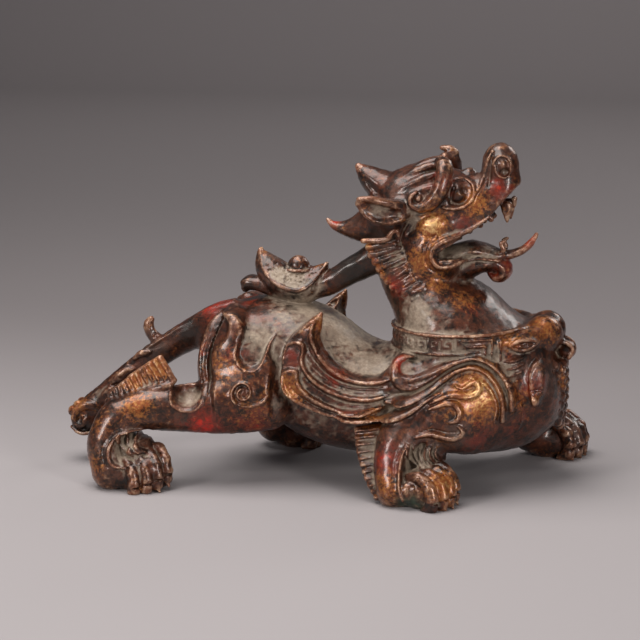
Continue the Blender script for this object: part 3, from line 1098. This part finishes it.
def skin_mesh(field, low, pitch):
    """The zero level of the field as corners and four-sided faces.

    Each small cube that the skin runs through gives one corner, the mean of the points where the skin cuts
    the cube's edges. Each edge that the skin cuts gives one face between its four cubes.
    """
    inside = field < 0
    unit = np.eye(3, dtype=int)
    count = np.zeros(tuple(n - 1 for n in field.shape), np.uint8)
    nx, ny, nz = count.shape
    for a, b, c in np.ndindex(2, 2, 2):
        count += inside[a:a + nx, b:b + ny, c:c + nz]
    cubes = np.argwhere((count > 0) & (count < 8))
    number = np.full(count.shape, -1, np.int32)
    number[tuple(cubes.T)] = np.arange(len(cubes))
    total = np.zeros((len(cubes), 3))
    crossings = np.zeros(len(cubes))
    for axis in range(3):
        one, two = [k for k in range(3) if k != axis]
        for a, b in np.ndindex(2, 2):
            step = a * unit[one] + b * unit[two]
            first = field[tuple((cubes + step).T)]
            second = field[tuple((cubes + step + unit[axis]).T)]
            crossed = (first < 0) != (second < 0)
            share = np.where(crossed, first / np.where(crossed, first - second, 1), 0)
            place = np.repeat(step[None].astype(float), len(cubes), 0)
            place[:, axis] += share
            total += place * crossed[:, None]
            crossings += crossed
    corners = low + (cubes + total / crossings[:, None]) * pitch
    faces = []
    for axis in range(3):
        one, two = [k for k in range(3) if k != axis]
        low_side = inside[tuple(slice(0, n - s) for n, s in zip(field.shape, unit[axis]))]
        high_side = inside[tuple(slice(s, n) for n, s in zip(field.shape, unit[axis]))]
        edges = np.argwhere(low_side != high_side)
        ring = [edges - unit[one] - unit[two], edges - unit[two], edges, edges - unit[one]]
        quad = np.stack([number[tuple(cube.T)] for cube in ring], 1)
        outward = inside[tuple(edges.T)]
        if axis == 1:
            outward = ~outward
        quad[~outward] = quad[~outward][:, ::-1]
        faces.append(quad)
    return corners, np.concatenate(faces)


corners, faces = skin_mesh(field, FIELD_LOW, GRAIN)
print("cast skin", len(kept), "cells", len(corners), "corners", len(faces), "faces")
mesh = bpy.data.meshes.new("pixiu_bronze")
mesh.vertices.add(len(corners))
mesh.vertices.foreach_set("co", (corners / 1000).astype(np.float32).ravel())
mesh.loops.add(len(faces) * 4)
mesh.loops.foreach_set("vertex_index", faces.astype(np.int32).ravel())
mesh.polygons.add(len(faces))
mesh.polygons.foreach_set("loop_start", (np.arange(len(faces)) * 4).astype(np.int32))
mesh.update(calc_edges=True)
mesh.validate()
bronze = bpy.data.objects.new("pixiu_bronze", mesh)
bpy.context.scene.collection.objects.link(bronze)
TRIANGLES = 194000
thin = bronze.modifiers.new("fewer faces", "DECIMATE")
thin.ratio = TRIANGLES / (2 * len(faces))
bpy.context.view_layer.update()
thinned = bpy.data.meshes.new_from_object(bronze.evaluated_get(bpy.context.evaluated_depsgraph_get()))
bronze.modifiers.clear()
bronze.data = thinned
thinned.name = "pixiu_bronze"
thinned.polygons.foreach_set("use_smooth", np.ones(len(thinned.polygons), bool))
print("cast mesh", len(thinned.vertices), "corners", len(thinned.polygons), "faces")


# Lacquered bronze.
# Brown bronze under worn red lacquer, with rubbed gilding on the swells and pale dust in the hollows and
# on the back. It is dark where no cloth reaches, and touched with green under the paws.

places = np.zeros(len(thinned.vertices) * 3, np.float32)
thinned.vertices.foreach_get("co", places)
places = places.reshape(-1, 3) * 1000
solid = (field < 0).astype(np.float32)


def fullness_around(solid, radius):
    """The share of metal within about that radius, in millimetres, of each place of the field."""
    # the mean over a box, taken twice, spreads about as far as a ball does
    reach = max(1, round(radius / GRAIN * 0.75))
    out = solid
    for _ in range(2):
        for axis in range(3):
            out = np.cumsum(out, axis=axis, dtype=np.float32)
            lead = np.roll(out, -reach, axis)
            lag = np.roll(out, reach + 1, axis)
            out = (lead - lag) / (2 * reach + 1)
    return np.clip(out, 0, 1)


def at_places(grid):
    """The field's values at the corners of the mesh."""
    spot = np.clip(np.round((places - FIELD_LOW) / GRAIN).astype(int), 0, np.array(grid.shape) - 1)
    return grid[tuple(spot.T)]


def keep_value(name, values):
    layer = thinned.attributes.new(name, "FLOAT", "POINT")
    layer.data.foreach_set("value", values.astype(np.float32))


# where more than half of what is round a place is metal it is a groove or a hollow, otherwise a ridge
fine_fill = at_places(fullness_around(solid, 2.0))
wide_fill = at_places(fullness_around(solid, 7.0))
keep_value("groove", np.clip((fine_fill - 0.5) * 4.5, -1, 1))
keep_value("hollow", np.clip((wide_fill - 0.5) * 3.5, -1, 1))


def keep_patches(name, patches):
    """Where a finish lies thickest.

    Each patch is x, distance from the middle plane, z, radius and strength.
    """
    most = np.zeros(len(places))
    folded = np.stack([places[:, 0], abs(places[:, 1]), places[:, 2]], 1)
    for x, y, z, radius, strength in patches:
        apart = ((folded - (x, y, z)) ** 2).sum(1) / radius ** 2
        most = np.maximum(most, strength * np.exp(-apart))
    keep_value(name, most)


keep_patches("lacquer", [
    # head, neck and mane
    (104, 0, 120, 10, 1), (120, 0, 138, 7, 1), (73, 18, 172, 7, 0.9), (104, 9, 168, 8, 0.8),
    (84, 17, 150, 9, 0.6), (64, 26, 104, 6, 0.6), (8, 0, 144, 6, 1), (23, 0, 176, 4, 0.9),
    (33, 20, 124, 8, 0.6), (47, 26, 112, 8, 0.8), (46, 26, 136, 6, 0.5), (90, 26, 125, 8, 0.5),
    # back, strap and ingot
    (-60, 5, 94, 12, 0.8), (-40, 12, 99, 10, 0.5),
    # chest, collar and shoulders
    (125, 32, 63, 8, 0.9), (90, 28, 102, 7, 0.6), (136, 16, 52, 9, 0.4), (112, 34, 84, 7, 0.6),
    # wings
    (-6, 48, 76, 7, 0.6), (55, 46, 75, 7, 0.9), (20, 50, 66, 10, 0.6), (30, 50, 46, 14, 0.5),
    # haunches and hind legs
    (-40, 44, 76, 10, 0.5), (-60, 42, 76, 7, 0.6),
    # tail
    (-78, 4, 84, 8, 0.5),
    # belly, legs and paws
    (-56, 52, 37, 13, 0.9), (-28, 50, 35, 16, 0.6), (50, 74, 26, 12, 0.7), (118, 36, 40, 14, 0.35),
    (96, 48, 36, 12, 0.6), (112, 62, 12, 12, 0.5),
])
keep_patches("gilt", [
    # head, neck and mane
    (68, 24, 149, 9, 1), (62, 27, 128, 9, 0.6), (72, 24, 117, 8, 0.6), (90, 14, 160, 8, 0.7),
    (88, 28, 110, 9, 0.5), (36, 20, 118, 7, 0.6), (30, 20, 136, 4, 0.8),
    # back, strap and ingot
    (-34, 0, 128, 3, 0.7), (10, 40, 94, 7, 0.5), (0, 0, 121, 4, 0.5),
    # chest, collar and shoulders
    (98, 50, 60, 14, 1), (82, 52, 52, 10, 0.6), (128, 16, 93, 11, 0.55), (120, 40, 56, 9, 0.4),
    (104, 44, 84, 5, 0.3), (112, 34, 86, 8, 0.5), (140, 10, 60, 8, 0.4),
    # wings
    (-8, 52, 58, 9, 0.7), (44, 52, 44, 10, 0.5),
    # haunches and hind legs
    (-42, 46, 66, 13, 0.35), (-30, 48, 46, 12, 0.35), (-92, 62, 48, 9, 0.6), (-84, 50, 68, 7, 0.8),
    (-96, 50, 58, 7, 0.6),
    # tail
    (-142, 6, 32, 6, 0.8),
    # belly, legs and paws
    (76, 54, 38, 8, 0.6), (52, 74, 12, 9, 0.5), (-114, 66, 14, 8, 0.6), (-112, 62, 34, 7, 0.4),
    (82, 74, 12, 9, 0.9),
])
keep_patches("dust", [
    # head, neck and mane
    (84, 13, 132, 10, 0.9), (98, 10, 132, 9, 0.8), (78, 19, 141, 8, 0.5), (100, 3, 186, 8, 0.35),
    (40, 34, 156, 8, 0.9), (48, 24, 130, 7, 0.7), (55, 26, 150, 8, 0.7),
    # back, strap and ingot
    (-8, 14, 99, 22, 0.9), (20, 16, 90, 24, 1), (-26, 38, 86, 12, 0.8), (-22, 11, 115, 7, 1.1),
    (-12, 13, 113.4, 8, 1.15), (-18, 10, 110, 10, 0.4),
    # chest, collar and shoulders
    (62, 34, 99, 13, 1), (78, 38, 96, 9, 0.5), (62, 38, 84, 12, 0.9), (84, 42, 84, 12, 0.8),
    (106, 42, 80, 9, 0.7), (112, 42, 70, 8, 0.7), (88, 50, 56, 5, 0.4), (66, 50, 62, 9, 0.36),
    (110, 46, 66, 10, 0.4),
    # wings
    (34, 30, 74, 16, 0.9), (58, 44, 71, 5, 0.8), (-14, 46, 48, 7, 0.5), (4, 44, 68, 14, 0.3),
    (26, 48, 54, 16, 0.32), (45, 50, 52, 11, 0.36),
    # haunches and hind legs
    (-22, 36, 76, 8, 0.6), (-88, 51, 56, 8, 0.4), (-64, 50, 52, 8, 0.6),
    # tail
    (-80, 8, 72, 9, 0.4), (-130, 8, 42, 8, 0.6), (-98, 10, 64, 8, 0.4),
    # belly, legs and paws
    (4, 44, 32, 15, 0.7), (30, 42, 26, 12, 0.7), (39, 60, 28, 9, 0.8), (46, 66, 13, 7, 0.7),
    (-86, 70, 16, 9, 0.5), (68, 66, 26, 9, 1), (-97, 66, 22, 9, 1),
])
keep_patches("verdigris", [
    (-24, 40, 88, 6, 0.4), (30, 44, 62, 7, 0.5), (66, 76, 3, 11, 1), (80, 74, 4, 7, 0.8),
    (58, 74, 20, 6, 0.4), (-92, 70, 4, 7, 0.5),
])
keep_patches("shade", [
    # head, neck and mane
    (22, 0, 118, 20, 0.9), (40, 8, 140, 14, 0.8), (32, 4, 168, 8, 0.8), (20, 0, 141, 9, 0.8),
    (40, 33, 150, 5, 0.7), (64, 22, 134, 7, 0.7), (56, 24, 122, 6, 0.5), (72, 18, 165, 5, 0.7),
    (83, 16, 166, 5, 0.6), (104, 10, 186, 7, 0.4),
    # back, strap and ingot
    (-12, 16, 101.6, 7, 1), (-28, 12, 105.6, 5, 0.9), (-40, 4, 106, 8, 0.9),
    # tail
    (-138, 6, 20, 9, 0.8), (-75, 6, 80, 14, 0.7), (-96, 6, 64, 14, 0.6),
    # belly, legs and paws
    (128, 66, 8, 16, 0.7), (72, 40, 14, 20, 0.6), (90, 0, 20, 40, 0.5),
])

material = bpy.data.materials.new("lacquered_bronze")
material.use_nodes = True
nodes = material.node_tree.nodes
links = material.node_tree.links
shader = nodes["Principled BSDF"]
where = nodes.new("ShaderNodeTexCoord").outputs["Object"]


def plug(socket, value):
    if isinstance(value, bpy.types.NodeSocket):
        links.new(value, socket)
    else:
        socket.default_value = value


def grain(scale, detail, roughness, distortion, offset):
    """Cloudy noise with about that many clouds to the metre."""
    node = nodes.new("ShaderNodeTexNoise")
    node.noise_dimensions = "4D"
    links.new(where, node.inputs["Vector"])
    node.inputs["W"].default_value = offset
    node.inputs["Scale"].default_value = scale
    node.inputs["Detail"].default_value = detail
    node.inputs["Roughness"].default_value = roughness
    node.inputs["Distortion"].default_value = distortion
    return node.outputs["Fac"]


def patch(name):
    """A value that the mesh keeps at its corners."""
    node = nodes.new("ShaderNodeAttribute")
    node.attribute_name = name
    return node.outputs["Fac"]


def sum_of(*terms):
    """Adds values, each with its own factor."""
    total = None
    for value, factor in terms:
        node = nodes.new("ShaderNodeMath")
        node.operation = "MULTIPLY_ADD"
        plug(node.inputs[0], value)
        node.inputs[1].default_value = factor
        plug(node.inputs[2], 0.0 if total is None else total)
        total = node.outputs[0]
    return total


def ease(value, low, high, start=0.0, stop=1.0):
    """Zero below low, one above high, and a soft slope between; start and stop change the two ends."""
    node = nodes.new("ShaderNodeMapRange")
    node.interpolation_type = "SMOOTHSTEP"
    links.new(value, node.inputs["Value"])
    node.inputs["From Min"].default_value = low
    node.inputs["From Max"].default_value = high
    node.inputs["To Min"].default_value = start
    node.inputs["To Max"].default_value = stop
    return node.outputs["Result"]


def product(one, other):
    node = nodes.new("ShaderNodeMath")
    node.operation = "MULTIPLY"
    plug(node.inputs[0], one)
    plug(node.inputs[1], other)
    return node.outputs[0]


def over(under, upper, mask):
    """Colour upper laid over colour under where the mask is."""
    node = nodes.new("ShaderNodeMix")
    node.data_type = "RGBA"
    links.new(mask, node.inputs["Factor"])
    plug(node.inputs["A"], under)
    plug(node.inputs["B"], upper)
    return node.outputs["Result"]


def between(under, upper, mask):
    """The same for plain values."""
    node = nodes.new("ShaderNodeMix")
    node.data_type = "FLOAT"
    links.new(mask, node.inputs["Factor"])
    plug(node.inputs["A"], under)
    plug(node.inputs["B"], upper)
    return node.outputs["Result"]


broad = grain(38, 4, 0.55, 0.4, 1.0)
cloud = grain(120, 6, 0.66, 0.7, 2.0)
speck = grain(560, 5, 0.62, 0.4, 3.0)
flake = grain(300, 6, 0.68, 0.7, 4.0)
pore = grain(1100, 3, 0.6, 0.0, 5.0)
groove = patch("groove")
hollow = patch("hollow")

# the colours, in the order in which they lie on the metal
DARK_BROWN = (0.012, 0.006, 0.004, 1)
WARM_BROWN = (0.085, 0.022, 0.009, 1)
GREY_FILM = (0.12, 0.084, 0.066, 1)
THIN_LACQUER = (0.12, 0.013, 0.005, 1)
RED_LACQUER = (0.42, 0.012, 0.004, 1)
COPPER = (0.27, 0.066, 0.014, 1)
OLD_GOLD = (0.36, 0.14, 0.032, 1)
BRIGHT_GOLD = (0.66, 0.40, 0.16, 1)
SOOT = (0.010, 0.008, 0.006, 1)
VERDIGRIS = (0.035, 0.062, 0.042, 1)
BROWN_DUST = (0.16, 0.118, 0.086, 1)
PALE_DUST = (0.32, 0.255, 0.19, 1)
RUBBED_BROWN = (0.23, 0.08, 0.038, 1)
RUBBED_PALE = (0.5, 0.34, 0.23, 1)

# mottled brown bronze under a thin grey film
mottle = ease(sum_of((cloud, 0.5), (flake, 0.5)), 0.4, 0.6)
film = ease(sum_of((broad, 0.6), (cloud, 0.4)), 0.48, 0.68, 0.0, 0.45)
worn_brown = over(over(DARK_BROWN, WARM_BROWN, mottle), GREY_FILM, film)
# red lacquer, bright where it is thick
red = ease(sum_of((patch("lacquer"), 0.6), (cloud, 0.7), (flake, 0.7)), 0.82, 1.12)
deep_red = ease(sum_of((patch("lacquer"), 0.74), (flake, 1.0), (cloud, 0.4)), 1.16, 1.46)
painted = over(over(worn_brown, THIN_LACQUER, red), RED_LACQUER, deep_red)
# gilding, worn through to copper
gold = ease(sum_of((patch("gilt"), 0.55), (flake, 0.8), (speck, 0.6), (hollow, -0.1)), 0.78, 1.04)
bright_gold = ease(sum_of((patch("gilt"), 0.6), (flake, 0.9), (speck, 0.6), (groove, -0.12)), 1.14, 1.46)
worn_gilt = over(COPPER, OLD_GOLD, ease(speck, 0.42, 0.6))
gilded = over(over(painted, worn_gilt, product(gold, 0.75)), BRIGHT_GOLD, bright_gold)
# dark corners, and green where damp stood
sooty = ease(sum_of((patch("shade"), 0.9), (cloud, 0.5), (speck, 0.2)), 0.6, 1.05, 0.0, 0.92)
green = ease(sum_of((patch("verdigris"), 0.7), (flake, 0.6), (speck, 0.4)), 0.72, 1.1, 0.0, 0.85)
shaded = over(over(gilded, SOOT, sooty), VERDIGRIS, green)
# pale dust, most of it in grooves and hollows
dirt = ease(sum_of(
    (patch("dust"), 0.95), (groove, 0.42), (hollow, 0.25), (cloud, 0.35), (flake, 0.25),
    (patch("shade"), -0.45),
), 0.55, 1.05)
thin_dirt = product(dirt, 0.88)
dust = over(BROWN_DUST, PALE_DUST, ease(sum_of((broad, 0.5), (speck, 0.5)), 0.38, 0.66))
dusty = over(shaded, dust, thin_dirt)
# the ridges, rubbed bare again
rubbed = ease(sum_of(
    (groove, -0.7), (hollow, -0.35), (flake, 0.35), (patch("dust"), -0.1), (patch("shade"), -0.5),
), 0.5, 1.1, 0.0, 0.6)
rubbed_metal = over(RUBBED_BROWN, RUBBED_PALE, ease(flake, 0.42, 0.64))
links.new(over(dusty, rubbed_metal, rubbed), shader.inputs["Base Color"])

# lacquer and dust hide the metal's own shine, and gilding brings it back
metal = between(between(0.3, 0.05, red), 0.45, gold)
links.new(between(metal, 0.0, thin_dirt), shader.inputs["Metallic"])
polish = between(ease(speck, 0.3, 0.7, 0.26, 0.4), 0.36, gold)
links.new(between(polish, 0.6, thin_dirt), shader.inputs["Roughness"])
links.new(between(0.34, 0.05, thin_dirt), shader.inputs["Coat Weight"])
shader.inputs["Coat Roughness"].default_value = 0.17
shader.inputs["Specular IOR Level"].default_value = 0.3

# fine unevenness of the surface, from casting and flaking
relief = nodes.new("ShaderNodeBump")
relief.inputs["Strength"].default_value = 0.5
relief.inputs["Distance"].default_value = 0.0004
links.new(sum_of((speck, 0.8), (pore, 0.45), (cloud, 0.8), (dirt, 0.25)), relief.inputs["Height"])
links.new(relief.outputs["Normal"], shader.inputs["Normal"])
thinned.materials.append(material)
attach(bronze, "root")
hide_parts("pixiu")


# Floor and backdrop.
# A pale mauve-grey sweep of paper: the floor runs back, grows darker behind the beast and curves up into
# a plain wall.

SWEEP_HALF_WIDTH = 12.0
SWEEP_FRONT = -12.0
CURVE_STARTS = 2.0
CURVE_RADIUS = 0.6
WALL_TOP = 2.4
sweep = bpy.data.meshes.new("sweep")
profile = [(SWEEP_FRONT, 0.0), (CURVE_STARTS, 0.0)]
for angle in np.linspace(0.1, math.pi / 2, 14):
    back = CURVE_STARTS + CURVE_RADIUS * math.sin(angle)
    profile.append((back, CURVE_RADIUS - CURVE_RADIUS * math.cos(angle)))
profile.append((CURVE_STARTS + CURVE_RADIUS, WALL_TOP))
sweep.from_pydata(
    [(x, y, z) for y, z in profile for x in (-SWEEP_HALF_WIDTH, SWEEP_HALF_WIDTH)], [],
    [(2 * i, 2 * i + 1, 2 * i + 3, 2 * i + 2) for i in range(len(profile) - 1)],
)
sweep.polygons.foreach_set("use_smooth", np.ones(len(sweep.polygons), bool))
floor = bpy.data.objects.new("studio_sweep", sweep)
bpy.context.scene.collection.objects.link(floor)
paper = bpy.data.materials.new("studio_paper")
paper.use_nodes = True
nodes = paper.node_tree.nodes
links = paper.node_tree.links
place = nodes.new("ShaderNodeSeparateXYZ")
links.new(nodes.new("ShaderNodeTexCoord").outputs["Object"], place.inputs[0])
PALE_MAUVE = (0.285, 0.263, 0.268, 1)
DEEP_MAUVE = (0.18, 0.163, 0.166, 1)
tone = over(PALE_MAUVE, DEEP_MAUVE, ease(place.outputs["Y"], -0.12, 0.5))
links.new(tone, nodes["Principled BSDF"].inputs["Base Color"])
nodes["Principled BSDF"].inputs["Roughness"].default_value = 0.62
sweep.materials.append(paper)


# Light and camera.
# Soft studio light from above and in front with a little from behind, and the camera where the
# photograph was taken from, on a long lens. Places are in metres.

LAMP_COLOUR = (1, 0.97, 0.94)


def softbox(name, place, aim, width, height, power):
    light = bpy.data.lights.new(name, "AREA")
    light.shape = "RECTANGLE"
    light.size = width
    light.size_y = height
    light.energy = power
    light.color = LAMP_COLOUR
    lamp = bpy.data.objects.new(name, light)
    lamp.location = place
    lamp.rotation_euler = (Vector(aim) - Vector(place)).to_track_quat("-Z", "Y").to_euler()
    bpy.context.scene.collection.objects.link(lamp)


softbox("overhead", (-0.2, -0.1, 1.0), (0, -0.02, 0.05), 0.9, 0.7, 14)
softbox("front_left", (-0.8, -1.2, 0.75), (0, 0, 0.08), 0.36, 0.42, 12)
softbox("front_right", (0.95, -1.05, 0.5), (0, 0, 0.1), 0.26, 0.42, 9)
softbox("back", (0.7, 1.15, 0.8), (0, 0, 0.1), 0.5, 0.4, 3.5)
softbox("backdrop", (0, 1.5, 1.1), (0, 2.4, 0), 1.8, 0.4, 8)
world = bpy.data.worlds.new("studio")
world.use_nodes = True
sky = world.node_tree.nodes["Background"]
sky.inputs["Color"].default_value = (0.8, 0.78, 0.82, 1)
sky.inputs["Strength"].default_value = 0.24
bpy.context.scene.world = world
bpy.context.scene.view_settings.view_transform = "Standard"

AIM = Vector((0.0, 0.0, 0.088))
EYE = Vector((0.2922, -1.4695, 0.376))
lens = bpy.data.cameras.new("photo_camera")
camera = bpy.data.objects.new("photo_camera", lens)
camera.location = EYE
camera.rotation_euler = (AIM - EYE).to_track_quat("-Z", "Y").to_euler()
lens.sensor_width = 36
lens.lens = 150
lens.clip_end = 20
bpy.context.scene.collection.objects.link(camera)
bpy.context.scene.camera = camera
